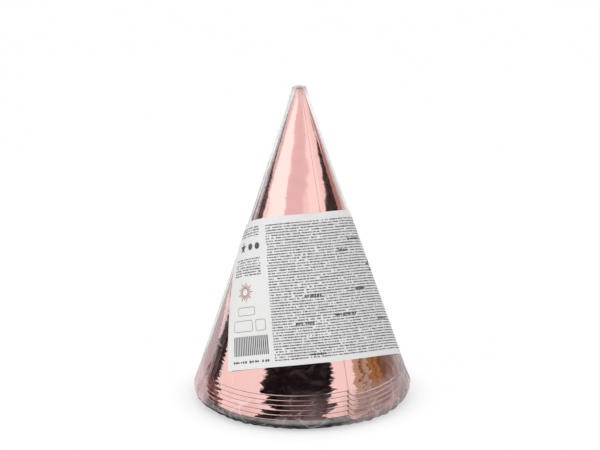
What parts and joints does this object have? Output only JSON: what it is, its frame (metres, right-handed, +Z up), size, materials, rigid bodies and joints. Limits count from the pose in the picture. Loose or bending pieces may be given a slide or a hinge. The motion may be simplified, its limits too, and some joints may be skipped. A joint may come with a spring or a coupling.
{
  "type": "party hat",
  "caption": "Stack of nested rose-gold foil cone party hats in a clear film cone bag with a wrapped paper label; the bag and each hat lift off upwards.",
  "frame": {"origin": "middle of the flat underside of the bag's gathered base, on the cones' common axis", "axes": "+Z up the cones' axis to the tip; -Y to the front, where the label and the hats' seam face"},
  "size_m": [0.1102, 0.1102, 0.1632],
  "materials": {
    "foil_card": "mirror-gloss rose-gold metallised foil on thin card",
    "tape": "double-sided adhesive tape",
    "bar_metal": "plain bright metal",
    "film": "clear glossy film",
    "gathered_film": "clear film in gathered folds",
    "label_paper": "satin white printed paper"
  },
  "bodies": {
    "bag_foot": {"bag_base": "gathered_film"},
    "hat_6_body": {"hat_6": "foil_card", "seam_tape_6": "tape", "bar_left_6": "bar_metal", "bar_right_6": "bar_metal"},
    "hat_5_body": {"hat_5": "foil_card", "seam_tape_5": "tape", "bar_left_5": "bar_metal", "bar_right_5": "bar_metal"},
    "hat_4_body": {"hat_4": "foil_card", "seam_tape_4": "tape", "bar_left_4": "bar_metal", "bar_right_4": "bar_metal"},
    "hat_3_body": {"hat_3": "foil_card", "seam_tape_3": "tape", "bar_left_3": "bar_metal", "bar_right_3": "bar_metal"},
    "hat_2_body": {"hat_2": "foil_card", "seam_tape_2": "tape", "bar_left_2": "bar_metal", "bar_right_2": "bar_metal"},
    "hat_1_body": {"hat_1": "foil_card", "seam_tape_1": "tape", "bar_left_1": "bar_metal", "bar_right_1": "bar_metal"},
    "bag_body": {"bag_film": "film", "label": "label_paper"}
  },
  "joints": [
    {"name": "hat_6_lift", "type": "slide", "parent": "bag_foot", "child": "hat_6_body", "axis": [0, 0, 1], "range_m": [0, 0.15]},
    {"name": "hat_5_lift", "type": "slide", "parent": "hat_6_body", "child": "hat_5_body", "axis": [0, 0, 1], "range_m": [0, 0.15]},
    {"name": "hat_4_lift", "type": "slide", "parent": "hat_5_body", "child": "hat_4_body", "axis": [0, 0, 1], "range_m": [0, 0.15]},
    {"name": "hat_3_lift", "type": "slide", "parent": "hat_4_body", "child": "hat_3_body", "axis": [0, 0, 1], "range_m": [0, 0.15]},
    {"name": "hat_2_lift", "type": "slide", "parent": "hat_3_body", "child": "hat_2_body", "axis": [0, 0, 1], "range_m": [0, 0.15]},
    {"name": "hat_1_lift", "type": "slide", "parent": "hat_2_body", "child": "hat_1_body", "axis": [0, 0, 1], "range_m": [0, 0.15]},
    {"name": "bag_lift", "type": "slide", "parent": "hat_1_body", "child": "bag_body", "axis": [0, 0, 1], "range_m": [0, 0.165]}
  ]
}
